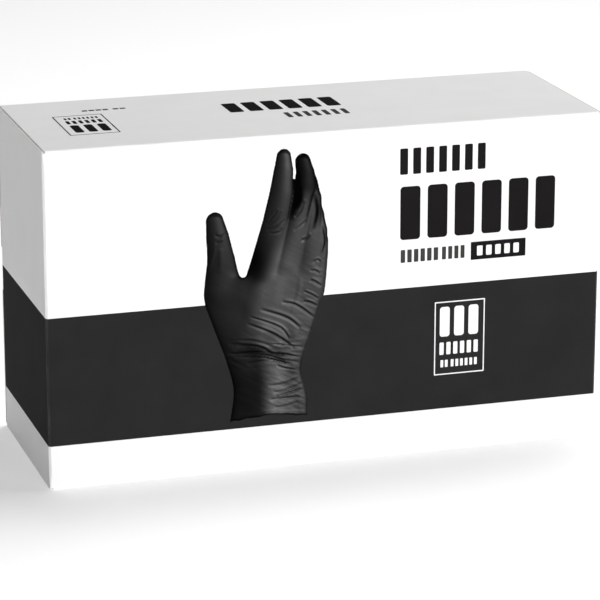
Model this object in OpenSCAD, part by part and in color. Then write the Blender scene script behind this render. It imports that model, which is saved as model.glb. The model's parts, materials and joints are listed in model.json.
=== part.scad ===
// Folding carton of one hundred disposable gloves.
// The carton stands on its bottom panel: X runs along its length, the printed front faces -Y,
// the tear-open dispenser is in the back panel at +Y, and Z is up. The origin is the centre of the base.
// A tube of four panels is closed by a glued seam. At each end two dust flaps fold in, an end flap
// closes over them, and its tuck tongue slides in behind the back panel.

/* [Carton] */
// Length from the left end to the right end
carton_len = 225; // [200:1:250]
// Depth from the printed front to the back
carton_depth = 81; // [70:1:95]
// Height of the carton as it stands
carton_height = 134; // [120:1:150]
// Thickness of the folding board
board_t = 0.5; // [0.4:0.05:0.6]

/* [Folds] */
// Outside radius of a fold that stays as it is
fold_r = 0.8; // [0.7:0.05:1]
// Radius of the bead on a working crease's axis
bead_r = 0.2; // [0.1:0.05:0.2]
// Play between a bent board and the board that swings from it
crease_play = 0.1; // [0.05:0.05:0.2]
// Gap between boards that lie against each other
nest_gap = 0.15; // [0.1:0.05:0.3]

/* [End closures] */
// Height left free above and below an end flap
flap_inset = 0.3; // [0.2:0.1:1]
// Length of a dust flap from its crease
dust_len = 42; // [30:1:55]
// Step back of a dust flap's front edge for each millimetre of its length
dust_mitre = 0.8; // [0.7:0.05:1]
// Length of a dust flap's square shoulder at the back
dust_shoulder = 6; // [4:0.5:8]
// Corner radius at a dust flap's tip
dust_corner_r = 5; // [2:1:8]
// Length of a tuck tongue from its crease
tongue_len = 18; // [14:1:22]
// Angle by which a tucked tongue leans away from the back panel
tongue_slant = 14; // [13:1:18]
// Height left free above and below a tuck tongue
tongue_inset = 8; // [7:0.5:14]
// Corner radius of a tuck tongue
tongue_corner_r = 10; // [6:1:12]
// Radius of the thumb notch at each end of the back panel
notch_r = 9; // [6:0.5:12]

/* [Dispenser] */
// Length of the tear-open dispensing hole
opening_w = 118; // [100:2:140]
// Height of the dispensing hole
opening_h = 46; // [40:2:60]
// Width of a perforated cut
kerf = 0.25; // [0.2:0.05:0.3]
// Depth of the dispenser's crease under the board's outer face
outer_crease_depth = 0.1; // [0.1:0.01:0.12]
// Board left out between that crease and the dispenser flap
outer_crease_gap = 0.4; // [0.4:0.05:0.6]
// Radius of the half-moon push tab
tab_r = 9; // [7:0.5:10]
// Board left between the push tab and the flap's lower edge
tab_web = 3; // [2:0.5:5]

/* [Seam] */
// Width of the glue flap from the back panel's lower edge
seam_w = 14; // [10:1:20]
// Distance from the carton's ends to the glue flap's ends
seam_inset = 3.5; // [3:0.5:6]
// Length by which the glue flap narrows at each end
seam_taper = 8; // [4:1:15]
// Distance between the folded edge and the glue line
glue_margin = 1; // [0.5:0.5:2]
// Thickness of the glue line
glue_t = 0.1; // [0.05:0.05:0.15]

/* [Gloves] */
// Number of glove bundles, of ten gloves each
bundle_count = 10; // [8:1:12]
// Gap between two bundles
bundle_gap = 0.3; // [0.2:0.1:0.6]
// Room between the gloves and the front panel
front_room = 0.6; // [0.4:0.1:1]
// Room between the gloves and each end flap
end_room = 8.5; // [7:0.5:15]
// Room between the gloves and the back panel
back_room = 6.6; // [5.5:0.1:10]
// Room between the gloves and the top panel
head_room = 20; // [10:1:30]
// Length of a flattened cuff
cuff_len = 62; // [40:1:80]
// Step between the palm's edge and the cuff's
cuff_step = 4; // [2:0.5:8]
// Corner radius of the folded finger end
finger_r = 30; // [15:1:40]

/* [Hidden] */
FIXED_NODES = [
    "front_panel", "top_panel", "back_panel", "bottom_panel", "glue_flap", "glue_line",
    "left_end_flap", "right_end_flap", "left_tuck_tongue", "right_tuck_tongue",
    "left_upper_dust_flap", "left_lower_dust_flap", "right_upper_dust_flap", "right_lower_dust_flap",
    "dispenser_flap", "push_tab"
];

$fn = 64;
left = -1;
right = 1;

half_len = carton_len / 2;
half_t = board_t / 2;
front_y = -carton_depth / 2;
back_y = carton_depth / 2;
mid_z = carton_height / 2;
// Distance from a working crease's axis to the end of the board that swings
swing_gap = half_t + crease_play;

// Axis of an end flap's crease, upright at the corner of the front panel
end_axis_x = half_len - half_t;
end_axis_y = front_y + half_t;
// Axis of a tuck tongue's crease, upright at the far edge of the end flap
tongue_axis_y = back_y - board_t - nest_gap - half_t;
// Axes of the dust flaps' creases, along Y at the ends of the top and bottom panels
dust_axis_x = half_len - board_t - nest_gap - half_t;
dust_high_z = carton_height - half_t;
dust_low_z = half_t;
// Rear edge of the dust flaps, just short of the tongue's crease
dust_back_y = tongue_axis_y - 0.3;
// The fixed folds stop short of the dust flaps
fold_len = 2 * (dust_axis_x - swing_gap);
// Depth over which the top and bottom panels are flat
flat_y0 = front_y + fold_r;
flat_y1 = back_y - fold_r;

// The back panel folds in above the bottom panel, with the glue line between them
seam_z = board_t + glue_t;
seam_fold_z = seam_z + fold_r;
// The bottom panel's rear edge stops a little short of the back panel's outer face
bottom_y1 = back_y - 0.1;
seam_half = half_len - seam_inset;

// Axis of the dispenser's crease, along the upper straight edge of its hole
opening_z = mid_z + opening_h / 2;
dispenser_axis_y = back_y - outer_crease_depth;
dispenser_crease_r = outer_crease_depth;
// Axis of the push tab's crease, inside the dispenser flap
tab_axis_z = mid_z - opening_h / 2 + kerf + tab_web + tab_r;

// Glove stack, resting just above the glue flap
glove_lift = 0.1;
glove_len = carton_len - 2 * end_room;
glove_z = seam_z + board_t + glove_lift;
glove_h = carton_height - glove_z - head_room;
stack_y0 = front_y + board_t + front_room;
bundle_pitch = (back_y - board_t - back_room - stack_y0) / bundle_count;
bundle_t = bundle_pitch - bundle_gap;

board_colour = "#f2f2f0";
liner_colour = "#dedcd6";
glue_colour = "#e8dfb0";
glove_colour = "#1c1c1e";

// Points of an arc about c from angle a0 to a1
function arc(c, r, a0, a1, steps = 8) =
    [for (i = [0:steps]) let (a = a0 + (a1 - a0) * i / steps) c + r * [cos(a), sin(a)]];

// A shape drawn on [x, z], made solid backwards from the plane y
module upright(y, thickness) {
    translate([0, y, 0]) rotate([90, 0, 0]) linear_extrude(thickness) children();
}

// A quarter turn of board along X about [y, z]; turn 0 is the quarter at +Y and +Z
module fold(length, y, z, turn) {
    translate([0, y, z]) rotate([turn, 0, 0]) rotate([90, 0, 90]) translate([0, 0, -length / 2])
        rotate_extrude(angle = 90) translate([fold_r - board_t, 0]) square([board_t, length]);
}

// Section of a board across level y, with a crease bead on the axis at each end
module creased_section(axis_x, y) {
    translate([0, y]) {
        square([2 * axis_x, board_t], center = true);
        for (side = [left, right]) translate([side * axis_x, 0]) circle(bead_r);
    }
}

module stadium(length, height) {
    square([length - height, height], center = true);
    for (side = [left, right]) translate([side * (length - height) / 2, 0]) circle(height / 2);
}

module front_panel() {
    color(board_colour) {
        translate([0, 0, fold_r]) linear_extrude(carton_height - 2 * fold_r)
            creased_section(end_axis_x, end_axis_y);
        fold(fold_len, flat_y0, carton_height - fold_r, 90);
        fold(fold_len, flat_y0, fold_r, 180);
    }
}

module top_panel() {
    color(board_colour) upright(flat_y1, flat_y1 - flat_y0) creased_section(dust_axis_x, dust_high_z);
}

module bottom_panel() {
    color(board_colour) upright(bottom_y1, bottom_y1 - flat_y0)
        creased_section(dust_axis_x, dust_low_z);
}

// Back panel with the dispensing hole and a thumb notch at each end
module back_panel() {
    color(board_colour) {
        upright(back_y, board_t) difference() {
            translate([-half_len, seam_fold_z])
                square([carton_len, carton_height - fold_r - seam_fold_z]);
            translate([0, mid_z]) stadium(opening_w, opening_h);
            for (side = [left, right]) translate([side * half_len, mid_z]) circle(notch_r);
        }
        fold(fold_len, flat_y1, carton_height - fold_r, 0);
        translate([-(opening_w - opening_h) / 2, dispenser_axis_y, opening_z]) rotate([0, 90, 0])
            cylinder(h = opening_w - opening_h, r = dispenser_crease_r);
    }
}

// Flap folded in from the back panel's lower edge and glued to the bottom panel
module glue_flap() {
    inner_y = back_y - seam_w;
    color(liner_colour) {
        translate([0, 0, seam_z]) linear_extrude(board_t)
            polygon([
                [-seam_half, flat_y1], [-seam_half + seam_taper, inner_y],
                [seam_half - seam_taper, inner_y], [seam_half, flat_y1]
            ]);
        fold(2 * seam_half, flat_y1, seam_fold_z, 270);
    }
}

module glue_line() {
    glue_w = seam_w / 2;
    color(glue_colour) translate([-seam_half + seam_taper, flat_y1 - glue_margin - glue_w, board_t])
        cube([2 * (seam_half - seam_taper), glue_w, glue_t]);
}

// End flap swinging on the front panel's upright edge, with the tongue's bead on its far edge
module end_flap(side) {
    near_y = end_axis_y + swing_gap;
    color(board_colour) translate([side * end_axis_x, 0, flap_inset])
        linear_extrude(carton_height - 2 * flap_inset) {
            translate([-half_t, near_y]) square([board_t, tongue_axis_y - near_y]);
            translate([0, tongue_axis_y]) circle(bead_r);
        }
}

// Tongue of the right-hand flap, drawn on [distance from the crease, height]
module tongue_outline() {
    height = carton_height - 2 * tongue_inset;
    straight = height - 2 * tongue_corner_r;
    translate([swing_gap, tongue_inset]) intersection() {
        square([tongue_len, height]);
        translate([tongue_len - swing_gap - tongue_corner_r, tongue_corner_r]) {
            translate([-tongue_len, -tongue_corner_r]) square([tongue_len, height]);
            square([tongue_corner_r, straight]);
            for (z = [0, straight]) translate([0, z]) circle(tongue_corner_r);
        }
    }
}

module tuck_tongue(side) {
    color(board_colour) mirror([1 + side, 0, 0]) translate([-end_axis_x, tongue_axis_y, 0])
        rotate([0, 0, -tongue_slant]) upright(half_t, board_t) tongue_outline();
}

// Dust flap drawn on [y, height above the crease]: mitred in front, stepped at the back
module dust_outline() {
    step = dust_shoulder;
    front_edge = flat_y0 + dust_mitre * (dust_len - swing_gap);
    mitre_turn = atan(1 / dust_mitre);
    r = dust_corner_r;
    // The mitred corner's arc touches the tip and the mitre
    front_arc_y = front_edge + r * tan(mitre_turn / 2);
    polygon(concat(
        [[dust_back_y, -swing_gap], [dust_back_y, -step], [dust_back_y - step, -2 * step]],
        arc([dust_back_y - step - r, r - dust_len], r, 0, -90),
        arc([front_arc_y, r - dust_len], r, -90, -90 - mitre_turn),
        [[flat_y0, -swing_gap]]
    ));
}

// level 1 hangs from the top panel and level -1 stands on the bottom panel
module dust_flap(side, level) {
    color(liner_colour) translate([side * dust_axis_x - half_t, 0, mid_z + level * (dust_high_z - mid_z)])
        mirror([0, 0, 1 - level]) rotate([90, 0, 90]) linear_extrude(board_t) dust_outline();
}

// Piece torn out of the dispensing hole, hinged along its upper edge
module dispenser_flap() {
    flap_h = opening_h - 2 * kerf;
    color(board_colour) {
        upright(back_y, board_t) difference() {
            translate([0, mid_z]) stadium(opening_w - 2 * kerf, flap_h);
            translate([-opening_w / 2, opening_z - outer_crease_gap]) square([opening_w, opening_h]);
            half_moon(tab_r + kerf, 0);
        }
        translate([-tab_r, back_y - half_t, tab_axis_z]) rotate([0, 90, 0])
            cylinder(h = 2 * tab_r, r = bead_r);
    }
}

// Lower half of a disc about the push tab's axis, cut off below the axis by gap
module half_moon(r, gap) {
    difference() {
        translate([0, tab_axis_z]) circle(r);
        translate([-2 * r, tab_axis_z - gap]) square([4 * r, 2 * r]);
    }
}

module push_tab() {
    color(board_colour) upright(back_y, board_t) half_moon(tab_r, swing_gap);
}

// Ten flattened gloves with their fingers folded back, drawn on [x, z] with the cuff at -X
module glove_outline() {
    finger_x = glove_len / 2 - finger_r;
    overlap = 1;
    translate([-glove_len / 2, cuff_step]) square([cuff_len + overlap, glove_h - 2 * cuff_step]);
    translate([cuff_len - glove_len / 2, 0]) square([glove_len - cuff_len - finger_r, glove_h]);
    translate([finger_x - overlap, finger_r]) square([finger_r + overlap, glove_h - 2 * finger_r]);
    for (z = [finger_r, glove_h - finger_r]) translate([finger_x, z]) circle(finger_r);
}

// Bundles lie alternately with their cuffs to the left and to the right
module glove_bundle(i) {
    color(glove_colour) translate([0, 0, glove_z]) mirror([i % 2, 0, 0])
        upright(stack_y0 + (i - 1) * bundle_pitch + bundle_t, bundle_t) glove_outline();
}

front_panel();
top_panel();
back_panel();
bottom_panel();
glue_flap();
glue_line();
end_flap(left);  // left_end_flap
end_flap(right);  // right_end_flap
tuck_tongue(left);  // left_tuck_tongue
tuck_tongue(right);  // right_tuck_tongue
dust_flap(left, 1);  // left_upper_dust_flap
dust_flap(left, -1);  // left_lower_dust_flap
dust_flap(right, 1);  // right_upper_dust_flap
dust_flap(right, -1);  // right_lower_dust_flap
dispenser_flap();
push_tab();
for (i = [1:bundle_count])
    glove_bundle(i);
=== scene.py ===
import json
import math

import bpy
import numpy as np
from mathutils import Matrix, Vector
from mathutils.geometry import delaunay_2d_cdt


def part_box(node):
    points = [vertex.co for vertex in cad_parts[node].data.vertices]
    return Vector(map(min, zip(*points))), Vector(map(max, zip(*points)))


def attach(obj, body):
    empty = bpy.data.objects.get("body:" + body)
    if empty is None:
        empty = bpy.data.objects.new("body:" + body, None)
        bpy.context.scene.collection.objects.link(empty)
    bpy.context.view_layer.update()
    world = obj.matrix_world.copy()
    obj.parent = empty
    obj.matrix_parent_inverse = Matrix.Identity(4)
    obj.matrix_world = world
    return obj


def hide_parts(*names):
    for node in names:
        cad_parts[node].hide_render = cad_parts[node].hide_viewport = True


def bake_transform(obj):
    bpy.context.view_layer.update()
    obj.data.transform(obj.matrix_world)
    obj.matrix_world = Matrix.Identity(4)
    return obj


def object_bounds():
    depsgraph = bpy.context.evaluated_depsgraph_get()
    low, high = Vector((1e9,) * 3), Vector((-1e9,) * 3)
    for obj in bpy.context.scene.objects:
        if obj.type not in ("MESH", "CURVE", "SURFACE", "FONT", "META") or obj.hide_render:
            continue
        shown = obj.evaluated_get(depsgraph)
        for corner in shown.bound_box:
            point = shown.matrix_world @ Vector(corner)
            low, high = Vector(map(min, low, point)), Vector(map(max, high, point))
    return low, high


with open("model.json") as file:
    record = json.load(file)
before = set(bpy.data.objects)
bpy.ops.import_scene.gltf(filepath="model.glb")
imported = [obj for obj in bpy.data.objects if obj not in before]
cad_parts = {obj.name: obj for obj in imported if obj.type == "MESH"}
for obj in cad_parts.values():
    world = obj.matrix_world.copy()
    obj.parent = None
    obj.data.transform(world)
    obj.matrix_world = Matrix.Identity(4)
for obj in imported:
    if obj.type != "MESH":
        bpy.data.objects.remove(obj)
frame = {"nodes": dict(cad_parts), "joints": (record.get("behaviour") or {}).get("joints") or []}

# Outlines are drawn in millimetres and scaled by MM when a mesh is made
MM = 0.001
cad_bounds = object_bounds()


def corners(node):
    """Lowest and highest corner of a CAD node, in millimetres."""
    low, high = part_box(node)
    return np.array(low) / MM, np.array(high) / MM


def joint_place(name):
    """A point on a joint's axis, in millimetres."""
    joint = next(j for j in frame["joints"] if j["name"] == name)
    return np.array(joint["pos_m"]) / MM


# ---- sizes from the frame
half_len = cad_bounds[1].x / MM
half_depth = cad_bounds[1].y / MM
height = cad_bounds[1].z / MM
mid_z = height / 2
top_low, top_high = corners("top_panel")
seam_low, seam_high = corners("glue_flap")
hole_low, hole_high = corners("dispenser_flap")
tab_low, tab_high = corners("push_tab")
board_t = top_high[2] - top_low[2]
half_t = board_t / 2
fold_r = top_low[1] + half_depth
seam_w = seam_high[1] - seam_low[1]
hole_top = joint_place("dispenser_hinge")[2]
tab_axis = joint_place("push_tab_hinge")[2]
end_axis_x = -joint_place("left_end_hinge")[0]
end_axis_y = joint_place("left_end_hinge")[1]
tongue_axis_y = joint_place("left_tongue_hinge")[1]
dust_axis_x = -joint_place("left_upper_dust_hinge")[0]

# Length of board on each side of a crease that bends with it, and its radius on the inner face
crease_run = 0.3
crease_inner_r = 0.02
# Gap between the folds' ends and the ends' creases
fold_gap = 0.35
fold_end = dust_axis_x - fold_gap
# The torn-out oval: its end radius, its ends' centres, the clearance round it and its torn ties
oval_r = (hole_top - hole_low[2]) / 2
oval_x = (hole_high[0] - hole_low[0]) / 2 - oval_r
kerf = hole_low[2] - (2 * mid_z - hole_top)
tie_depth = 0.12
# Thumb notches, the glue flap's taper, the tuck tongue's slant, length and corners
notch_r = 9.0
seam_taper = 8.0
tongue_slant = 14.0
tongue_len = 18.0
tongue_corner_r = 10.0
# Dust flaps: length, step at the rear, mitre at the front as y per length, and corners
dust_len = 42.0
dust_step = 6.0
dust_mitre = 0.8
dust_corner_r = 5.0
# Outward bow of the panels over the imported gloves; the back panel is flat
front_bow = 0.35
top_bow = 0.3
end_bow = 0.2
# Height of the printed band's lower and upper edge
band_low = 17.6
band_high = 68.8
# Thickness of a printed patch above and below the board's surface
ink_over = 0.03
ink_under = 0.03

COATED, BAND, LINER, EDGE = range(4)


# ---- curves and noise
def smooth_step(t):
    """From 0 at 0 to 1 at 1, level at both."""
    return t * t * (3 - 2 * t)


def ramp(value, start, end):
    """0 up to start and 1 from end on; end may lie on either side of start."""
    return np.clip((value - start) / (end - start), 0, 1)


def bell(value, middle, width):
    """1 at the middle, falling to nearly 0 at twice the width from it."""
    return np.exp(-(((value - middle) / width) ** 2))


def lattice_noise(u, v, seed):
    """Smooth noise from -1 to 1 with one lump per unit."""
    grid = np.random.default_rng(seed).uniform(-1, 1, (64, 64))
    iu, iv = np.floor(u).astype(int), np.floor(v).astype(int)
    fu, fv = smooth_step(u - iu), smooth_step(v - iv)
    near = grid[iu % 64, iv % 64] * (1 - fu) + grid[(iu + 1) % 64, iv % 64] * fu
    far = grid[iu % 64, (iv + 1) % 64] * (1 - fu) + grid[(iu + 1) % 64, (iv + 1) % 64] * fu
    return near * (1 - fv) + far * fv


def layered_noise(u, v, seed, layers=3):
    """Lattice noise with finer, weaker layers added."""
    total = 0
    for layer in range(layers):
        total = total + lattice_noise(u * 2**layer, v * 2**layer, seed + layer) / 2**layer
    return total


# ---- outlines
def arc(centre, radius, start, turn, steps=10):
    """Points of an arc, in degrees."""
    angles = np.radians(start + turn * np.linspace(0, 1, steps + 1))
    return [(centre[0] + radius * math.cos(a), centre[1] + radius * math.sin(a)) for a in angles]


def plain_box(x0, y0, x1, y1):
    """Rectangle."""
    return [(x0, y0), (x1, y0), (x1, y1), (x0, y1)]


def rounded_box(x0, y0, x1, y1, r):
    """Rectangle with round corners."""
    centres = [(x1 - r, y0 + r), (x1 - r, y1 - r), (x0 + r, y1 - r), (x0 + r, y0 + r)]
    return [p for i, centre in enumerate(centres) for p in arc(centre, r, 90 * i - 90, 90, 4)]


def split_long(loop, longest):
    """The same outline with no edge longer than the given length."""
    out = []
    for a, b in zip(loop, loop[1:] + loop[:1]):
        count = max(1, math.ceil(math.dist(a, b) / longest))
        out += [tuple(np.array(a) + (np.array(b) - np.array(a)) * i / count) for i in range(count)]
    return out


def with_ties(path, depth, seed, pitch=6.0, width=0.6):
    """An open path with the small torn ties of a perforation standing out on its right."""
    points = np.array(path)
    steps = np.diff(points, axis=0)
    along = np.concatenate([[0], np.cumsum(np.linalg.norm(steps, axis=1))])
    normals = np.stack([steps[:, 1], -steps[:, 0]], 1) / np.linalg.norm(steps, axis=1)[:, None]
    rng = np.random.default_rng(seed)
    out = [(s, 0.0) for s in along]
    for s in np.arange(pitch / 2, along[-1] - width, pitch):
        reach = depth * rng.uniform(0.5, 1)
        tie = [(s, 0), (s + width * 0.15, reach), (s + width * 0.85, reach), (s + width, 0)]
        out = [k for k in out if not s - 0.01 < k[0] < s + width + 0.01] + tie
    result = []
    for s, reach in sorted(out, key=lambda k: k[0]):
        i = min(np.searchsorted(along, s, side="right") - 1, len(steps) - 1)
        base = points[i] + steps[i] * (s - along[i]) / max(along[i + 1] - along[i], 1e-9)
        result.append(tuple(base + normals[i] * reach))
    return result


def inside(points, loops):
    """Which points lie inside an odd number of loops."""
    x, y = points[:, 0], points[:, 1]
    hits = np.zeros(len(points), int)
    for loop in loops:
        for (ax, ay), (bx, by) in zip(loop, loop[1:] + loop[:1]):
            if ay == by:
                continue
            crosses = (ay > y) != (by > y)
            hits += crosses & (x < ax + (bx - ax) * (y - ay) / (by - ay))
    return hits % 2 == 1


# ---- sheets
def add_object(name, verts, faces, materials, face_material=None, smooth_angle=30):
    """A mesh object from vertices in millimetres."""
    mesh = bpy.data.meshes.new(name)
    mesh.from_pydata((np.array(verts) * MM).tolist(), [], faces)
    for made in materials:
        mesh.materials.append(made)
    if face_material is not None:
        mesh.polygons.foreach_set("material_index", face_material)
    mesh.shade_smooth()
    mesh.set_sharp_from_angle(angle=math.radians(smooth_angle))
    mesh.update()
    piece = bpy.data.objects.new(name, mesh)
    bpy.context.scene.collection.objects.link(piece)
    return piece


def flat_mesh(loops, step, lines=()):
    """Triangulates loops, with holes as loops inside loops, on an inner grid.

    lines are levels of y along which it is divided. Gives points and triangles.
    """
    loops = [split_long([tuple(map(float, p)) for p in loop], step) for loop in loops]
    every = np.array([p for loop in loops for p in loop])
    lo, hi = every.min(0), every.max(0)
    xs, ys = (np.arange(a + step / 2, b, step) for a, b in zip(lo, hi))
    grid = np.array([(x, y) for x in xs for y in ys]).reshape(-1, 2)
    points, edges = [], []
    for loop in loops:
        edges += [(len(points) + i, len(points) + (i + 1) % len(loop)) for i in range(len(loop))]
        points += loop
    for y in lines:
        edges.append((len(points), len(points) + 1))
        points += [(lo[0] - 1, y), (hi[0] + 1, y)]
    points += grid[inside(grid, loops)].tolist()
    flat, _, triangles, *_ = delaunay_2d_cdt([Vector(p) for p in points], edges, [], 0, 1e-5)
    flat, triangles = np.array(flat), np.array(triangles)
    triangles = triangles[inside(flat[triangles].mean(1), loops)]
    used, triangles = np.unique(triangles, return_inverse=True)
    flat, triangles = flat[used], triangles.reshape(-1, 3)
    a, b, c = (flat[triangles[:, i]].T for i in range(3))
    turn = (b[0] - a[0]) * (c[1] - a[1]) - (b[1] - a[1]) * (c[0] - a[0])
    triangles[turn < 0] = triangles[turn < 0][:, ::-1]
    return flat, triangles[np.abs(turn) > 1e-9]


def closed_faces(outer, inner, faces):
    """Outer, inner and rim faces of a sheet between two layers of points, turned outwards."""
    n = len(outer)
    edges = {(f[i], f[(i + 1) % len(f)]) for f in faces for i in range(len(f))}
    rim = sorted((p, q) for p, q in edges if (q, p) not in edges)
    first = outer[faces[0][:3]]
    if np.cross(first[1] - first[0], first[2] - first[0]) @ (outer - inner)[faces[0][0]] < 0:
        faces = [f[::-1] for f in faces]
        rim = [(q, p) for p, q in rim]
    back = [[i + n for i in reversed(f)] for f in faces]
    walls = [[q, p, p + n, q + n] for p, q in rim]
    return faces, back, walls


def closed_sheet(name, x, y, faces, place, materials, paint=None, low=-half_t, high=half_t):
    """A closed sheet from drawn points and faces, with place(x, y, level) giving its points in space.

    paint(points) gives the outer faces' material index.
    """
    outer, inner = (place(x, y, np.full(len(x), level)) for level in (high, low))
    front, back, walls = closed_faces(outer, inner, faces)
    outer_kind = paint(outer[faces].mean(1)) if paint else np.zeros(len(faces), int)
    last = len(materials) - 1
    kinds = [*outer_kind.tolist(), *[min(LINER, last)] * len(back), *[min(EDGE, last)] * len(walls)]
    return add_object(name, np.concatenate([outer, inner]), front + back + walls, materials, kinds)


def sheet(name, loops, place, materials, step=6.0, lines=(), **how):
    """A closed sheet cut to loops; lines are levels of y along which it is divided."""
    flat, triangles = flat_mesh(loops, step, lines)
    return closed_sheet(name, flat[:, 0], flat[:, 1], triangles.tolist(), place, materials, **how)


def band_paint(points):
    """Outer faces between the band's edges are inked."""
    within = (points[:, 2] > band_low) & (points[:, 2] < band_high)
    return np.where(within, BAND, COATED)


def finished(piece, slot, body, *nodes):
    """Attaches the piece to its body and hides the CAD nodes that it stands for; slot is not used."""
    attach(piece, body)
    if nodes:
        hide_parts(*nodes)


def board(name, loop, place, body, node, *holes, step=6.0, lines=(), paint=band_paint):
    """A panel or flap of printed board in place of a CAD node."""
    piece = sheet(name + "_board", [loop, *holes], place, BOARD, step, lines, paint=paint)
    finished(piece, "printed_board", body, node)


def crease(name, loop, place, ends, lines, step=6.0):
    """A crease's board, cut to the loop and left in place; ends are the drawn points where it starts and
    stops.
    """
    piece = sheet(name + "_crease", [loop], place, CREASE, step, lines, paint=band_paint)
    start, end = (place(np.array([x]), np.array([y]), np.zeros(1))[0] * MM for x, y in ends)
    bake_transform(piece)


# ---- where the sheets lie
# The tube's section, followed clockwise at mid-board from the lower front fold: straight
# runs and quarter turns. Every panel of the tube is cut from this one folded strip.
fold_mid = fold_r - half_t
turn_len = fold_mid * math.pi / 2
front_run = height - 2 * fold_r
top_run = 2 * half_depth - 2 * fold_r
back_run = height - seam_low[2] - 2 * fold_r
front_s = turn_len
top_s = front_s + front_run + turn_len
back_s = top_s + top_run + turn_len
flap_s = back_s + back_run + turn_len
strip_end = flap_s + seam_w - fold_r


def strip_table():
    """Rows of the strip's length, y, z and heading, close enough to read between."""
    s, y, z, heading = 0.0, fold_r - half_depth, half_t, 180.0
    rows = [(s, y, z, heading)]
    slices = 12
    # A run of 0 stands for a quarter turn, whose slices each turn twice by half their angle
    for run in (0, front_run, 0, top_run, 0, back_run, 0, seam_w):
        tilt = 0 if run else 45 / slices
        chord = run / slices if run else 2 * fold_mid * math.sin(math.radians(tilt))
        for _ in range(slices):
            heading -= tilt
            y += chord * math.cos(math.radians(heading))
            z += chord * math.sin(math.radians(heading))
            s += (run or turn_len) / slices
            heading -= tilt
            rows.append((s, y, z, heading))
    return np.array(rows).T


strip = strip_table()


def swell(along, length, across, width):
    """1 in the middle of a panel and 0 at its edges, both distances taken from its middle."""
    u, v = np.clip(2 * along / length, -1, 1), np.clip(2 * across / width, -1, 1)
    return (1 - u * u) * (1 - v * v)


def on_strip(x, s, level):
    """A point of the folded tube: x along the carton, s along its section."""
    y, z, heading = (np.interp(s, strip[0], row) for row in strip[1:])
    side = np.radians(heading + 90)
    level = level + front_bow * swell(x, 2 * half_len, s - front_s - front_run / 2, front_run)
    level = level + top_bow * swell(x, 2 * half_len, s - top_s - top_run / 2, top_run)
    return np.stack([x, y + level * np.cos(side), z + level * np.sin(side)], 1)


def front_at(z):
    """Strip length at a height on the front panel."""
    return front_s + z - fold_r


def top_at(v):
    """Strip length at a distance from the front edge on the top panel."""
    return top_s + v - fold_r


def back_at(z):
    """Strip length at a height on the back panel."""
    return back_s + height - fold_r - z


def fold_lines(s, length=turn_len):
    """Levels that divide a quarter turn of the strip, or a crease, beginning at s."""
    return [s + length * i / 6 for i in range(1, 6)]


def on_end(side):
    """End flap: x is the distance from the front crease, y the height."""
    depth = tongue_axis_y - end_axis_y

    def place(x, y, level):
        out = level + end_bow * swell(x - depth / 2, depth, y - mid_z, height)
        return np.stack([side * (end_axis_x + out), end_axis_y + x, y], 1)

    return place


def on_line(start, heading, outward):
    """A flat sheet: drawn x along the heading from start, drawn y along z, or y where the sheet uses z."""
    start, heading, outward = (np.array(v, float) for v in (start, heading, outward))
    uses_z = max(abs(outward[2]), abs(heading[2])) > 0.5
    third = np.array([0, 1.0, 0] if uses_z else [0, 0, 1.0])

    def place(x, y, level):
        return start + np.outer(x, heading) + np.outer(y, third) + np.outer(level, outward)

    return place


# ---- materials
def node_adder(tree):
    """A function that adds a node to the tree, sets its options, and sets or links its inputs."""
    def node(kind, options=(), **inputs):
        added = tree.nodes.new(kind)
        for key, value in options:
            setattr(added, key, value)
        for key, value in inputs.items():
            socket = added.inputs[key.replace("_", " ")]
            if isinstance(value, bpy.types.NodeSocket):
                tree.links.new(value, socket)
            else:
                socket.default_value = value
        return added

    return node


def principled(name, colour, roughness, specular):
    """A material, its node adder, its shader's wiring, and the position on the piece in metres."""
    made = bpy.data.materials.new(name)
    made.use_nodes = True
    shader = made.node_tree.nodes["Principled BSDF"]
    shader.inputs["Base Color"].default_value = (*colour, 1)
    shader.inputs["Roughness"].default_value = roughness
    shader.inputs["Specular IOR Level"].default_value = specular
    node = node_adder(made.node_tree)

    def wire(socket, output):
        made.node_tree.links.new(output, shader.inputs[socket])

    return made, node, wire, node("ShaderNodeTexCoord").outputs["Object"]


def stretched(node, place, scale):
    """The position scaled along each axis, which draws noise out where the scale is small."""
    return node("ShaderNodeMapping", Vector=place, Scale=scale).outputs["Vector"]


def noise_of(node, place, scale, detail=3.0):
    """Noise values with the given number of lumps per metre."""
    return node("ShaderNodeTexNoise", Vector=place, Scale=scale, Detail=detail).outputs["Fac"]


def between(node, amount, dark, light, low=0.3, high=0.7):
    """Colours from dark to light as amount goes from low to high."""
    tones = node("ShaderNodeValToRGB", Fac=amount)
    first, last = tones.color_ramp.elements
    first.position, last.position = low, high
    first.color, last.color = (*dark, 1), (*light, 1)
    return tones.outputs["Color"]


def ranged(node, amount, low, high, start=0.0, end=1.0):
    """Values from low to high as amount goes from start to end."""
    made = node(
        "ShaderNodeMapRange", Value=amount, From_Min=start, From_Max=end, To_Min=low, To_Max=high,
    )
    return made.outputs["Result"]


def mixed(node, factor, a, b, blend="MIX"):
    """Colour a mixed with colour b by the factor."""
    options = [("data_type", "RGBA"), ("blend_type", blend)]
    return node("ShaderNodeMix", options, Factor=factor, A=a, B=b).outputs["Result"]


def bumped(node, height, strength, distance, **under):
    """Normals of a relief, over the normals given as Normal."""
    made = node("ShaderNodeBump", Height=height, Strength=strength, Distance=distance, **under)
    return made.outputs["Normal"]


def shade(colour, factor):
    """A colour made lighter or darker."""
    return tuple(min(1.0, c * factor) for c in colour)


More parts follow.
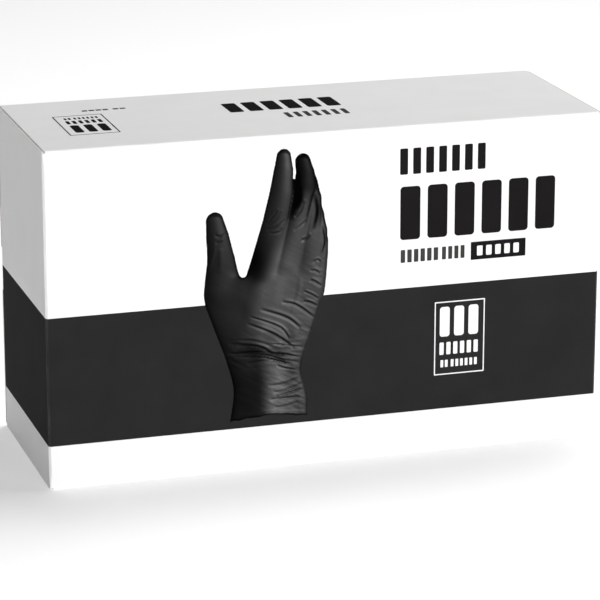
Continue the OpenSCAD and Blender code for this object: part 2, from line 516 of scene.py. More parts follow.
def board_material(name, colour, roughness, specular, mottle=0.015, grain=900, relief=0.25):
    """Board or ink: cloudy tone, fine grain in the relief and an uneven gloss."""
    made, node, wire, place = principled(name, colour, roughness, specular)
    cloud = noise_of(node, place, 60, 4.0)
    fibre = noise_of(node, place, grain)
    wire("Base Color", between(node, cloud, shade(colour, 1 - mottle), shade(colour, 1 + mottle)))
    wire("Roughness", ranged(node, fibre, roughness * 0.9, min(1, roughness * 1.12)))
    wire("Normal", bumped(node, fibre, relief, 0.00004))
    return made


def lumpy_material(name, colour, roughness, specular, scale, detail, dark, light, distance):
    """Tone and relief from one noise: pulp laid bare at a cut edge, or dried glue."""
    made, node, wire, place = principled(name, colour, roughness, specular)
    lumps = noise_of(node, place, scale, detail)
    wire("Base Color", between(node, lumps, shade(colour, dark), shade(colour, light)))
    wire("Normal", bumped(node, lumps, 0.6, distance))
    return made


def liner_material():
    """Uncoated inside of the board: pale grey recycled pulp with fibres and specks."""
    colour = (0.56, 0.545, 0.51)
    made, node, wire, place = principled("plain_liner", colour, 0.85, 0.2)
    fibre = noise_of(node, stretched(node, place, (0.35, 1, 1)), 1400, 5.0)
    pulp = between(node, fibre, shade(colour, 0.86), shade(colour, 1.1))
    speck = ranged(node, noise_of(node, place, 650, 1.0), 0.0, 1.0, 0.7, 0.76)
    wire("Base Color", mixed(node, speck, pulp, (*shade(colour, 0.55), 1)))
    wire("Normal", bumped(node, fibre, 0.5, 0.00008))
    return made


def picture_material():
    """Printed picture: tone from the mesh, broken up by a fine print grain."""
    made, node, wire, place = principled("printed_picture", (0.03, 0.03, 0.03), 0.5, 0.003)
    tone = node("ShaderNodeVertexColor", [("layer_name", "tone")]).outputs["Color"]
    grain = ranged(node, noise_of(node, place, 1500, 2.0), 0.88, 1.12)
    wire("Base Color", mixed(node, 1.0, tone, grain, "MULTIPLY"))
    return made


def nitrile_material():
    """Thin black nitrile film: satin, with fine pebbling and soft puckers."""
    colour = (0.012, 0.012, 0.013)
    made, node, wire, place = principled("black_nitrile", colour, 0.4, 0.5)
    cloud = noise_of(node, place, 140)
    wire("Base Color", between(node, cloud, shade(colour, 0.75), shade(colour, 1.5)))
    wire("Roughness", ranged(node, cloud, 0.3, 0.5))
    pebbles = bumped(node, noise_of(node, place, 2600, 1.0), 0.25, 0.00006)
    puckers = noise_of(node, stretched(node, place, (0.5, 1, 1.6)), 160, 4.0)
    wire("Normal", bumped(node, puckers, 0.5, 0.0006, Normal=pebbles))
    return made


WHITE = (0.82, 0.82, 0.815)
BLACK_INK = (0.0205, 0.0203, 0.0207)
coated = board_material("coated_board", WHITE, 0.5, 0.05)
band_ink = board_material("band_ink", BLACK_INK, 0.5, 0.003, mottle=0.08)
title_ink = board_material("title_ink", (0.0115, 0.0105, 0.011), 0.5, 0.003, mottle=0.08)
grey_ink = board_material("grey_ink", (0.045, 0.044, 0.044), 0.5, 0.02, mottle=0.06)
fold_board = board_material("creased_board", shade(WHITE, 0.98), 0.6, 0.2, 0.04, 2200, 0.6)
fold_ink = board_material("creased_ink", shade(BLACK_INK, 1.5), 0.55, 0.12, 0.4, 2200, 0.6)
liner = liner_material()
cut_edge = lumpy_material("cut_edge", (0.66, 0.64, 0.59), 0.9, 0.15, 5200, 2.0, 0.8, 1.25, 0.00005)
dry_glue = lumpy_material("dry_glue", (0.72, 0.66, 0.42), 0.3, 0.5, 400, 3.0, 0.85, 1.1, 0.0001)
BOARD = [coated, band_ink, liner, cut_edge]
CREASE = [fold_board, fold_ink, liner, cut_edge]


# ---- the tube
def make_front_panel():
    """Front panel with its folds to the top and bottom panels, and corner reliefs."""
    side_x = half_len - board_t - crease_run
    s0, s1 = front_s, front_s + front_run
    loop = [
        (-fold_end, 0), (fold_end, 0), (fold_end, s0), (side_x, s0), (side_x, s1), (fold_end, s1),
        (fold_end, s1 + turn_len), (-fold_end, s1 + turn_len), (-fold_end, s1), (-side_x, s1),
        (-side_x, s0), (-fold_end, s0),
    ]
    lines = fold_lines(0) + fold_lines(s1) + [s0, s1, front_at(band_low), front_at(band_high)]
    board("front", loop, on_strip, "carton", "front_panel", lines=lines)


def make_top_panel():
    """Top panel, between the creases of its dust flaps."""
    side_x = dust_axis_x - half_t - crease_run
    loop = plain_box(-side_x, top_s, side_x, top_s + top_run)
    board("top", loop, on_strip, "carton", "top_panel")


def make_bottom_panel():
    """Bottom panel, flat, between the creases of its dust flaps."""
    side_x = dust_axis_x - half_t - crease_run
    low, high = corners("bottom_panel")

    def place(y, x, level):
        return np.stack([x, y, half_t - level], 1)

    loop = plain_box(low[1], -side_x, high[1], side_x)
    board("bottom", loop, place, "carton", "bottom_panel")


def opening_path(grow):
    """The dispensing hole's round ends and lower edge, from its upper right to its upper left."""
    r = oval_r + grow
    cs = back_at(mid_z)
    # Strip length runs downwards on the back panel, so the lower edge is at cs + r
    right = arc((oval_x, cs), r, -90, 180, 28)
    bottom = [(x, cs + r) for x in np.linspace(oval_x, -oval_x, 25)[1:-1]]
    return right + bottom + arc((-oval_x, cs), r, 90, 180, 28)


def make_back_panel():
    """Back panel with the dispensing hole, thumb notches and its fold to the top panel."""
    s0, s1 = back_s, back_s + back_run
    cs = back_at(mid_z)
    loop = [
        (-fold_end, s0 - turn_len), (fold_end, s0 - turn_len), (fold_end, s0), (half_len, s0),
        *arc((half_len, cs), notch_r, -90, -180, 16), (half_len, s1), (-half_len, s1),
        *arc((-half_len, cs), notch_r, 90, -180, 16), (-half_len, s0), (-fold_end, s0),
    ]
    hole = with_ties(opening_path(kerf), -tie_depth, seed=11)
    lines = fold_lines(s0 - turn_len) + [s0, back_at(band_low), back_at(band_high)]
    board("back", loop, on_strip, "carton", "back_panel", hole, lines=lines)


def make_glue_flap():
    """Flap folded in from the back panel's lower edge."""
    s0 = flap_s - turn_len
    wide, narrow = seam_high[0], seam_high[0] - seam_taper
    loop = [
        (-wide, s0), (wide, s0), (wide, flap_s), (narrow, strip_end), (-narrow, strip_end), (-wide, flap_s),
    ]
    lines = fold_lines(s0) + [flap_s]
    board("glue_flap", loop, on_strip, "carton", "glue_flap", lines=lines)


def make_dispenser():
    """The oval that tears out, the half-moon tab in it and their two creases."""
    cs, top = back_at(mid_z), back_at(hole_top)
    crease_s = back_at(hole_high[2])
    reach = oval_x + math.sqrt(oval_r**2 - (cs - crease_s) ** 2)
    path = [p for p in opening_path(0) if p[1] > crease_s]
    path = with_ties([(reach, crease_s), *path, (-reach, crease_s)], tie_depth, seed=12)
    tab_s = back_at(tab_axis)
    tab_r = (tab_high[0] - tab_low[0]) / 2
    moon = arc((0, tab_s), tab_r + kerf, 0, 180, 24)
    band = [back_at(band_low), back_at(band_high)]
    board("dispenser", path, on_strip, "dispenser", "dispenser_flap", moon, step=4.0, lines=band)

    tab_top = back_at(tab_high[2])
    reach = math.sqrt(tab_r**2 - (tab_top - tab_s) ** 2)
    lean = math.degrees(math.asin((tab_top - tab_s) / tab_r))
    half_moon = arc((0, tab_s), tab_r, lean, 180 - 2 * lean, 24)
    board("push_tab", half_moon, on_strip, "tab", "push_tab", step=3.0)

    creases = [
        ("dispenser", oval_x, top, crease_s, "carton", "dispenser"),
        ("push_tab", reach, tab_s, tab_top, "dispenser", "tab"),
    ]
    for name, x, s0, s1, a, b in creases:
        lines = fold_lines(s0, s1 - s0)
        crease(name, plain_box(-x, s0, x, s1), on_strip, [(0.0, s0), (0.0, s1)], lines)


# ---- the ends
def corner_crease(name, corner, from_angle, turn, low, high, upright):
    """A crease that turns a corner, from low to high along it, curving between two panels.

    corner is where the two inner faces meet, in the section's plane; from_angle and turn say
    where the outer face begins and how far it goes round.
    """
    arc_len = math.radians(abs(turn)) * half_t
    total = arc_len + 2 * crease_run
    square = math.copysign(90, turn)
    first = np.radians(from_angle + square)
    last = np.radians(from_angle + turn + square)

    def place(s, t, level):
        angle = np.radians(from_angle + turn * np.clip((s - crease_run) / arc_len, 0, 1))
        radius = crease_inner_r + (board_t - crease_inner_r) * (level + half_t) / board_t
        before = np.minimum(s - crease_run, 0)
        after = np.maximum(s - crease_run - arc_len, 0)
        px = corner[0] + radius * np.cos(angle) + before * np.cos(first) + after * np.cos(last)
        py = corner[1] + radius * np.sin(angle) + before * np.sin(first) + after * np.sin(last)
        return np.stack([px, py, t] if upright else [px, t, py], 1)

    columns = [crease_run + arc_len * i / 8 for i in range(9)]
    middle = (low + high) / 2
    if upright:
        # Drawn with s as x, so that the band's edges are levels of y
        columns = [0, *columns, total]
        loop = [(s, low) for s in columns] + [(s, high) for s in reversed(columns)]
        crease(name, loop, place, [(0.0, middle), (total, middle)], [band_low, band_high], 8.0)
    else:
        crease(name, plain_box(low, 0, high, total), lambda t, s, level: place(s, t, level),
               [(middle, 0.0), (middle, total)], columns, 8.0)


def make_end(side, word):
    """End flap, its tuck tongue and its two dust flaps, each with its crease."""
    low, high = corners(word + "_end_flap")
    hinge_gap = half_t + crease_run
    # The angle inside the closed corner decides where the two inner faces meet
    corner_gap = half_t / math.tan(math.radians(90 - tongue_slant) / 2)
    tongue_start = corner_gap + crease_run
    flap_end = tongue_axis_y - end_axis_y - tongue_start
    loop = plain_box(hinge_gap, low[2], flap_end, high[2])
    end, tongue = word + "_end", word + "_tongue"
    board(end, loop, on_end(side), end, word + "_end_flap", lines=[band_low, band_high])
    inner_x = side * (end_axis_x - half_t)
    corner_crease(end, (inner_x, end_axis_y + half_t), -90, 90 * side, fold_r, height - fold_r, True)

    lean = math.radians(tongue_slant)
    heading = (-side * math.cos(lean), -math.sin(lean), 0)
    outward = (side * math.sin(lean), math.cos(lean), 0)
    z0, z1 = (corner[2] for corner in corners(word + "_tuck_tongue"))
    r, arc_x = tongue_corner_r, tongue_len - tongue_corner_r
    loop = [
        (tongue_start, z0), *arc((arc_x, z0 + r), r, -90, 90), *arc((arc_x, z1 - r), r, 0, 90),
        (tongue_start, z1),
    ]
    axis = (side * end_axis_x, tongue_axis_y, 0)
    board(tongue, loop, on_line(axis, heading, outward), tongue, word + "_tuck_tongue", paint=None)
    corner_crease(tongue, (inner_x, tongue_axis_y - corner_gap), 0 if side > 0 else 180,
                  (90 + tongue_slant) * side, z0, z1, True)

    for level_word, level in (("upper", 1), ("lower", -1)):
        make_dust_flap(side, f"{word}_{level_word}_dust", level)


def swapped(points):
    """The points in reverse order, with x and y exchanged."""
    return [(y, x) for x, y in reversed(points)]


def make_dust_flap(side, body, level):
    """Dust flap with a mitred front and a stepped rear, drawn on [distance from the crease, y]."""
    low, high = corners(body + "_flap")
    front, back = low[1], high[1]
    start = half_t + crease_run
    r, arc_x = dust_corner_r, dust_len - dust_corner_r
    turn = math.degrees(math.atan(1 / dust_mitre))
    arc_y = front + dust_mitre * (dust_len - fold_gap) + r * math.tan(math.radians(turn) / 2)
    loop = [
        (start, front), *swapped(arc((arc_y, arc_x), r, 90, turn, 8)),
        *swapped(arc((back - dust_step - r, arc_x), r, 0, 90, 8)),
        (2 * dust_step, back - dust_step), (dust_step, back), (start, back),
    ]
    crease_z = height - half_t if level > 0 else half_t
    place = on_line((side * dust_axis_x, 0, crease_z), (0, 0, -level), (side, 0, 0))
    flap = sheet(body + "_board", [loop], place, [coated, coated, liner, cut_edge])
    finished(flap, "plain_board", body, body + "_flap")
    corner = (side * (dust_axis_x - half_t), crease_z - level * half_t)
    corner_crease(body, corner, 90 * level, -90 * side * level, front, back, False)


make_front_panel()
make_top_panel()
make_bottom_panel()
make_back_panel()
make_glue_flap()
make_dispenser()
make_end(-1, "left")
make_end(1, "right")
# The bead of glue keeps its CAD shape
glue_line_materials = frame["nodes"]["glue_line"].data.materials
glue_line_materials.clear()
glue_line_materials.append(dry_glue)


# ---- the print
# Its layout is given from the panel's middle and foot, and on top from the front edge
def printed(name, loops, at, ink, over=ink_over):
    """A patch of ink a little proud of the board; at turns a drawn height into strip length."""
    def place(x, y, level):
        return on_strip(x, at(y), level)

    patch = sheet(name, loops, place, [ink], 5.0, low=half_t - ink_under, high=half_t + over)
    finished(patch, "printing_ink", "carton")


def word_blocks(x0, x1, y0, y1, count, gap, r):
    """A row of equal rounded blocks."""
    width = (x1 - x0 + gap) / count
    return [rounded_box(x0 + i * width, y0, x0 + (i + 1) * width - gap, y1, r) for i in range(count)]


def frame_loops(x0, y0, x1, y1, line):
    """Outline of a box, as an outer and an inner loop."""
    return [
        rounded_box(x0, y0, x1, y1, line / 2),
        rounded_box(x0 + line, y0 + line, x1 - line, y1 - line, line / 4),
    ]


def badge_rows(x0, x1, y0, sign):
    """Three rows of blocks, the large one uppermost; sign -1 turns the rows about y0."""
    def row(a, b, low, high, count, gap, r):
        if sign < 0:
            low, high = -high, -low
        return word_blocks(a, b, y0 + low, y0 + high, count, gap, r)

    second = x0 + 0.2 * (x1 - x0)
    return (
        row(x0, x1, 12.8, 25.0, 3, 1.9, 1.1)
        + row(x0, x1, 5.3, 10.4, 6, 1.1, 0.4)
        + row(x0 + 0.5, second + 0.3, 0.1, 3.1, 2, 0.7, 0.2)
        + row(second + 1.6, x1 - 0.3, 0.1, 3.1, 6, 0.8, 0.2)
    )


def make_front_print():
    """Two large lines, a small one with a tag beside it, and a white badge on the band."""
    small_low, small_high = 79.2, 84.4
    small = word_blocks(29.1, 44.6, small_low, small_high, 6, 0.9, 0.3)
    small += word_blocks(46.2, 55.6, small_low, small_high, 4, 0.9, 0.3)
    on_tag = word_blocks(60.8, 78.4, 79.6, 83.6, 5, 1.5, 0.4)
    badge = frame_loops(43.5, 31.7, 64.5, 61.9, 0.45) + badge_rows(45.7, 61.8, 34.7, 1)
    printed("front_line_one", word_blocks(28.6, 63.8, 114.6, 125, 7, 2.1, 0.5), front_at, title_ink)
    printed("front_line_two", word_blocks(28.8, 93.2, 88.4, 109.8, 6, 3.0, 1.4), front_at, title_ink)
    printed("front_line_three", small, front_at, grey_ink)
    printed("front_tag", [rounded_box(58.2, 78, 81.2, 85.3, 0.3)], front_at, title_ink)
    # The tag's blocks lie on its own ink, so they stand half as high again
    printed("front_tag_blocks", on_tag, front_at, coated, 1.5 * ink_over)
    printed("front_badge", badge, front_at, coated)


def make_top_print():
    """Print on the top panel, turned to be read from behind; y is the distance from the front edge."""
    badge = frame_loops(-96.6, 21.6, -76.8, 53.8, 0.5) + badge_rows(-93.4, -79.2, 50.4, -1)
    small = [rounded_box(x, 59.6, x + 2.2, 61.6, 0.2) for x in (-83, -80.2, -77.4, -74.6, -70.4, -67.6)]
    printed("top_line_one", word_blocks(-8.4, 16.8, 25.8, 34.2, 7, 1.8, 0.5), top_at, grey_ink)
    printed("top_line_two", word_blocks(-27.8, 17.8, 40.2, 56, 6, 2.3, 0.9), top_at, title_ink)
    printed("top_badge", badge, top_at, title_ink)
    printed("top_small_line", small, top_at, grey_ink)


def make_back_print():
    """Plain rows of small print, a line and a mark over the dispenser on the back panel."""
    x0, row_low, row_high, row_pitch, block_pitch = -100, 118.6, 120.2, 3.2, 5
    small = []
    for row, span in enumerate((46, 42, 47, 30)):
        down = row_pitch * row
        small += word_blocks(x0, x0 + span, row_low - down, row_high - down, span // block_pitch, 1.2, 0.3)
    arrow = [(-3.2, 100.5), (0, 96.2), (3.2, 100.5)]
    printed("back_small_print", small, back_at, grey_ink)
    printed("back_line", word_blocks(45, 99, 111, 121, 6, 1.6, 0.6), back_at, title_ink)
    printed("back_arrow", [arrow], back_at, title_ink)


make_front_print()
make_top_print()
make_back_print()


# ---- the picture of a glove
# A picture drawn for this model, with the pose, place and broad light of the one in the photo.
# Its points were set one by one, and adjusted against edges and tones measured in the photo.
# x is measured from the front panel's middle and z from its foot.
# Fingers are chains of round links as (x, z, radius)
THUMB = [(-42.5, 74, 7), (-43.5, 86, 5.5), (-45, 96, 4.5), (-46, 102, 3.5)]
INDEX = [(-27, 80, 6), (-22, 99, 5.2), (-19.5, 111, 4.7), (-18.5, 120, 3.9), (-18.4, 125.5, 2.9)]
MIDDLE = [(-17.5, 82, 6), (-13, 102, 5), (-10, 113, 4.4), (-9.9, 118.5, 3.7), (-10.8, 123, 3.1)]
RING = [(-10.5, 80, 6), (-8.2, 98, 4.7), (-7.3, 108, 4), (-7.8, 114, 2.5)]
LITTLE = [(-8, 72, 5.5), (-5.5, 86, 4.5), (-5, 95, 4), (-5, 101, 2.5)]
# Heights of the cuff's hem and of the web beside the thumb
hem_z = 20.2
web_z = 78
# The fingers on each side of the slit, each with how far it stands in front of the next
FINGER_GROUPS = [[(THUMB, 1.0), (INDEX, 3.2)], [(MIDDLE, 1.6), (RING, 0.0), (LITTLE, -1.2)]]
# Sides of the palm, the wrist and the cuff, and where the lit side of the hand begins, as (z, x)
LEFT_SIDE = [(20, -40.5), (34, -39), (46, -42), (60, -47), (70, -50), (78, -49.5), (90, -46)]
RIGHT_SIDE = [(20, -9), (28, -9), (40, -11.5), (54, -7.5), (70, -3), (90, -2)]
LIT_FROM = [(20, -26), (42, -26.5), (60, -31.5), (72, -30), (84, -24), (94, -19.5), (130, -19.5)]
# Fans of creases in the film. Each fan has its first and its last crease as (start, end), then the number
# of creases, how far they bow, their width and their depth; a negative depth makes a soft ridge
CREASE_FANS = [
    (((-44, 54), (-19, 49)), ((-38, 45), (-13, 41)), 7, 0.9, 0.5, 0.9),
    (((-25, 51), (-11, 48)), ((-24, 43), (-12, 39)), 4, -0.5, 0.4, 0.7),
    (((-28, 34), (-10, 36)), ((-26, 25), (-10, 26)), 5, -0.5, 0.5, 0.7),
    (((-23, 69), (-6, 59)), ((-36, 60), (-12, 46)), 4, 1.6, 0.5, 0.85),
    (((-8, 84), (-2, 83)), ((-12, 68), (-4, 64)), 5, 0.4, 0.4, 0.75),
    (((-27, 98), (-20, 106)), ((-25, 95), (-17, 99)), 4, -0.6, 0.4, 0.8),
    (((-16, 99), (-9, 109)), ((-13, 92), (-7, 95)), 3, -0.6, 0.45, 0.8),
    (((-46.5, 96), (-41.5, 96)), ((-46.5, 93), (-42, 94)), 2, -0.5, 0.45, 0.6),
    (((-12, 84), (-15, 56)), ((-12, 84), (-15, 56)), 1, 1.0, 0.9, -0.35),
    (((-44.5, 80), (-43, 93)), ((-44.5, 80), (-43, 93)), 1, 0.3, 1.2, -0.4),
]
# Shadows between the fingers and over the wrist, as (points, width, share of the tone taken away)
SHADOWS = [
    ([(-13.5, 119), (-13, 112), (-14, 106), (-16, 100)], 1.5, 0.9),
    ([(-12, 113), (-12, 108), (-13.5, 104)], 1.2, 0.9),
    ([(-6, 110), (-5, 103), (-6.5, 95.5)], 0.8, 0.9),
    ([(-3, 97), (-2, 91), (-3, 86)], 0.35, 0.9),
    ([(-37, 50), (-29, 48), (-23, 47), (-15, 45)], 2.2, 0.48),
    ([(-27, 56), (-21, 54), (-15, 51)], 1.8, 0.25),
]
# Lights that shape the picture's folds, as (strength, direction, power): broad, shine and left rim
PICTURE_LIGHTS = [
    (1.05, (0.55, 0.25, 0.75), 1.7), (0.74, (0.4, 0.35, 0.85), 16), (0.2, (-0.8, 0.4, 0.45), 6),
]
# Tones from 0 to 255: the dark left and bright right side of the palm, and the limits of the print
dark_tone, bright_tone = 46, 76
darkest, brightest = 8, 122
# Step of the grid on which the picture is drawn
picture_step = 0.35
# Light on the front panel, by which a printed tone is divided to look right
front_light = 1.38


def smooth_through(t, rows):
    """Value at t of a smooth curve through rows of (t, value)."""
    ts, values = np.array(rows, float).T
    slopes = np.gradient(values, ts)
    i = np.clip(np.searchsorted(ts, t) - 1, 0, len(ts) - 2)
    gap = ts[i + 1] - ts[i]
    u = np.clip((t - ts[i]) / gap, 0, 1)
    return (
        values[i] * (1 + 2 * u) * (1 - u) ** 2 + slopes[i] * gap * u * (1 - u) ** 2
        + values[i + 1] * u * u * (3 - 2 * u) - slopes[i + 1] * gap * u * u * (1 - u)
    )


def nearest_on(x, z, a, b):
    """How far along the line from a to b its nearest point lies, from 0 to 1, and the distance to it."""
    dx, dz = b[0] - a[0], b[1] - a[1]
    t = np.clip(((x - a[0]) * dx + (z - a[1]) * dz) / (dx * dx + dz * dz), 0, 1)
    return t, np.hypot(x - a[0] - t * dx, z - a[1] - t * dz)


def finger_field(x, z, chain):
    """Depth inside a chain of tapered round links, and its rounded height."""
    depth, rise = np.full(x.shape, -99.0), np.zeros(x.shape)
    for a, b in zip(chain, chain[1:]):
        t, away = nearest_on(x, z, a, b)
        r = a[2] + (b[2] - a[2]) * t
        depth = np.maximum(depth, r - away)
        rise = np.maximum(rise, np.sqrt(np.maximum(r * r - away * away, 0)))
    return depth, rise


def fold_field(x, z, points, width):
    """1 on a smooth fold line, falling to 0 beside it and at its ends."""
    t = np.linspace(0, 1, 25)
    at = np.linspace(0, 1, len(points))
    line_x, line_z = (smooth_through(t, list(zip(at, values))) for values in zip(*points))
    line = list(zip(line_x, line_z))
    nearest = np.full(x.shape, 1e9)
    share = np.zeros(x.shape)
    for i in range(len(t) - 1):
        u, away = nearest_on(x, z, line[i], line[i + 1])
        closer = away < nearest
        nearest[closer] = away[closer]
        share[closer] = (t[i] + u * (t[i + 1] - t[i]))[closer]
    return bell(nearest, 0, width) * np.sin(math.pi * share) ** 0.5


def film_creases():
    """Every crease of the fans as (points, width, depth), each shifted and cut short at random."""
    rng = np.random.default_rng(27)
    creases = []
    for first, last, count, bow_out, width, depth in CREASE_FANS:
        first, last = np.array(first, float), np.array(last, float)
        for i in range(count):
            place = (i + rng.uniform(-0.25, 0.25)) / max(count - 1, 1)
            start, end = first + (last - first) * place
            run = end - start
            across = np.array([-run[1], run[0]]) / math.hypot(*run)
            begun, left_off = rng.uniform(0, 0.3, 2)
            tilt = across * math.hypot(*run) * rng.uniform(-0.05, 0.05)
            middle = (start + end) / 2 + across * (bow_out + rng.uniform(-0.6, 0.6))
            points = [start + run * begun - tilt, middle, end - run * left_off + tilt]
            creases.append((points, width * rng.uniform(0.8, 1.2), depth * rng.uniform(0.5, 1.15)))
    return creases


def softened(field, reach):
    """The field averaged over a few steps along z, so that links of a finger run into each other."""
    wide = np.pad(field, ((0, 0), (reach, reach)), mode="edge")
    return sum(wide[:, i:i + field.shape[1]] for i in range(2 * reach + 1)) / (2 * reach + 1)


def palm_fields(x, z):
    """Depth inside the palm, its height, the position across it from -1 to 1, and the cuff's hem."""
    left, right = smooth_through(z, LEFT_SIDE), smooth_through(z, RIGHT_SIDE)
    middle, half = (left + right) / 2, (right - left) / 2
    across = (x - middle) / half
    # The hem is arched and a little ragged, and the web beside the thumb sags
    hem = hem_z + 1.8 * (1 - ((x + 25) / 16) ** 2) + 0.45 * lattice_noise(x / 2.6, x * 0, 5)
    web = web_z + 0.04 * (x + 36.5) ** 2
    depth = np.minimum(np.minimum(half - np.abs(x - middle), z - hem), np.minimum(web, 90) - z)
    rise = 10.5 * np.sqrt(np.clip(1 - np.abs(across) ** 2.6, 0, 1)) * (1 - smooth_step(ramp(z, 70, 98)))
    return depth, rise, across, hem


def hand_fields(x, z, palm_depth, palm_rise):
    """Depth inside the hand, its height, and where one fingertip passes behind another."""
    # Heights and outlines blend softly, like the largest of them with its corners rounded
    softness, web_softness = 0.9, 1.1
    total = np.exp(np.where(palm_depth > -2, palm_rise, -50) / softness)
    depth = np.full(x.shape, -99.0)
    nearest, second = np.full(x.shape, -9.0), np.full(x.shape, -9.0)
    for group in FINGER_GROUPS:
        joined = np.exp(np.clip(palm_depth, -30, 30) / web_softness)
        for chain, forward in group:
            finger_depth, rise = finger_field(x, z, chain)
            joined = joined + np.exp(np.clip(finger_depth, -30, 30) / web_softness)
            stand = np.where(finger_depth > 0, rise + forward, -9.0)
            total = total + np.exp(np.where(finger_depth > 0, stand, -50) / softness)
            second = np.maximum(second, np.minimum(nearest, stand))
            nearest = np.maximum(nearest, stand)
        depth = np.maximum(depth, web_softness * np.log(joined))
    gap = bell(nearest - second, 0, 0.9) * (second > -5) * ramp(z, 96, 104)
    return depth, softened(softness * np.log(np.maximum(total, 1e-6)), 4), gap


def with_film(rise, x, z, across, hem):
    """The hand's height with the film's creases, tension lines and rolled hem."""
    for points, width, fold_depth in film_creases():
        rise = rise - fold_depth * fold_field(x, z, points, width)
        if fold_depth > 0:
            # The film bulges beside a crease
            shifted = [(a + 0.4, b + 1.6 * width) for a, b in points]
            rise = rise + 0.4 * fold_depth * fold_field(x, z, shifted, 1.3 * width)
    # Fine tension lines, strongest at the wrist and along the right edge
    turned = math.radians(-28)
    u = x * math.cos(turned) + z * math.sin(turned)
    v = -x * math.sin(turned) + z * math.cos(turned)
    wrist = bell(z, 47, 7)
    edge = ramp(across, 0.35, 0.85) * ramp(z, 88, 80)
    strength = 0.03 + 0.18 * wrist + 0.1 * edge + 0.1 * ramp(z, 44, 36)
    rise = rise + strength * (1 - np.abs(layered_noise(u / 11, v / 2.4, 31, 3)))
    rise = rise + 0.3 * wrist * (1 - np.abs(layered_noise(x / 16, z / 2.2, 41, 2)))
    rise = rise + 0.45 * layered_noise(x / 9, z / 13, 51, 2) * ramp(z, 88, 68)
    return rise + 0.9 * bell(z - hem, 0.9, 0.7)


def relief_light(rise):
    """How much light the picture's lights give a surface of that height."""
    slope_x = np.gradient(rise, picture_step, axis=0)
    slope_z = np.gradient(rise, picture_step, axis=1)
    size = np.sqrt(slope_x**2 + slope_z**2 + 1)
    normal = (-slope_x / size, -slope_z / size, 1 / size)
    light = 0.26
    for strength, direction, power in PICTURE_LIGHTS:
        length = math.sqrt(sum(d * d for d in direction))
        toward = sum(n * d / length for n, d in zip(normal, direction))
        light = light + strength * np.clip(toward, 0, 1) ** power
    return light


def spot(x, z, middle_x, middle_z, width, height):
    """1 at the middle of a soft oval, falling to 0 round it."""
    return np.exp(-(((x - middle_x) / width) ** 2) - ((z - middle_z) / height) ** 2)


def picture_fields(x, z):
    """Depth inside the gloved hand's outline, and its printed tone from 0 to 255."""
    palm_depth, palm_rise, across, hem = palm_fields(x, z)
    depth, rise, gap = hand_fields(x, z, palm_depth, palm_rise)
    # Most of the palm's own roundness is left out: its broad tones are drawn by LIT_FROM
    relief = relief_light(with_film(rise, x, z, across, hem) - 0.55 * palm_rise)
    # Share of the bright side's tone
    share = smooth_step(np.clip((x - smooth_through(z, LIT_FROM)) / 7 + 0.5, 0, 1))
    # Both sides' tones change towards the fingers and the cuff
    finger_side = ramp(z, 92, 100)
    dark = dark_tone - 12 * ramp(z, 48, 36) + 2 * finger_side
    bright = bright_tone - 18 * finger_side + 9 * ramp(z, 44, 38)
    tone = (dark + (bright - dark) * share) * relief ** (0.55 + 0.25 * share)
    # The right side turns away a little, more so on the cuff
    turned_away = (0.17 + 0.18 * ramp(z, 46, 40)) * ramp(z, 100, 92)
    tone = tone * (1 - turned_away * ramp(across, 0.35, 0.75))
    # The hollow beside the thumb lies in shade, and the knuckle next to it catches the light
    tone = tone * (1 - 0.55 * spot(x, z, -30.5, 84, 5, 8)) * (1 + 0.3 * spot(x, z, -18.5, 84.5, 3.5, 6))
    tone = tone * (1 - 0.6 * gap)
    # The middle fingertip turns away from the light
    tone = tone * (1 - 0.5 * ramp(z, 106, 113) * ramp(x, -15, -13.5))
    for points, width, taken in SHADOWS:
        tone = tone * (1 - taken * fold_field(x, z, points, width))
    # The outline itself is a little darker
    tone = tone * (1 - 0.35 * bell(depth, 0, 0.7))
    return depth, np.clip(tone, darkest, brightest)


def grid_faces(kept):
    """Squares of the grid whose four corners are kept, numbered over the points that they use."""
    full = kept[:-1, :-1] & kept[1:, :-1] & kept[1:, 1:] & kept[:-1, 1:]
    used = np.zeros(kept.shape, bool)
    for dx in (0, 1):
        for dz in (0, 1):
            used[dx:full.shape[0] + dx, dz:full.shape[1] + dz] |= full
    number = -np.ones(kept.shape, int)
    number[used] = np.arange(used.sum())
    cells = [number[:-1, :-1], number[1:, :-1], number[1:, 1:], number[:-1, 1:]]
    return np.stack([c[full] for c in cells], 1).tolist(), used


def make_glove_picture():
    """The picture as a patch of ink cut to the hand's outline, with its tone on the mesh."""
    xs = np.arange(-52, 3, picture_step)
    zs = np.arange(18, 130.5, picture_step)
    x, z = np.meshgrid(xs, zs, indexing="ij")
    depth, tone = picture_fields(x, z)
    grad_x = np.gradient(depth, picture_step, axis=0)
    grad_z = np.gradient(depth, picture_step, axis=1)
    steep = np.maximum(grad_x**2 + grad_z**2, 0.3)
    # Points just outside the outline are drawn in onto it
    outside = depth < 0
    x = np.where(outside, x - depth * grad_x / steep, x)
    z = np.where(outside, z - depth * grad_z / steep, z)
    faces, used = grid_faces(depth > -0.75 * picture_step)
    picture = closed_sheet("front_picture", x[used], front_at(z[used]), faces, on_strip,
                           [picture_material()], low=half_t - ink_under, high=half_t + ink_over)
    linear = (tone[used] / 255) ** 2.2 / front_light
    # The same tone on the outer and the inner layer of points
    colours = np.ones((2 * len(linear), 4), np.float32)
    colours[:, :3] = np.concatenate([linear, linear])[:, None]
    layer = picture.data.attributes.new("tone", "FLOAT_COLOR", "POINT")
    layer.data.foreach_set("color", colours.ravel())
    finished(picture, "printing_ink", "carton")


make_glove_picture()

# ---- the gloves
gloves_per_bundle = 10
film_t = 0.34
# The cuff's length, how much narrower it is on each side, and the corners of the folded hand
cuff_len = 62.0
cuff_step = 4.0
hand_r = 30.0
# Mesh steps of a glove inside the stack, and of the one that shows behind the dispenser
coarse_step = 7.0
fine_step = 1.6


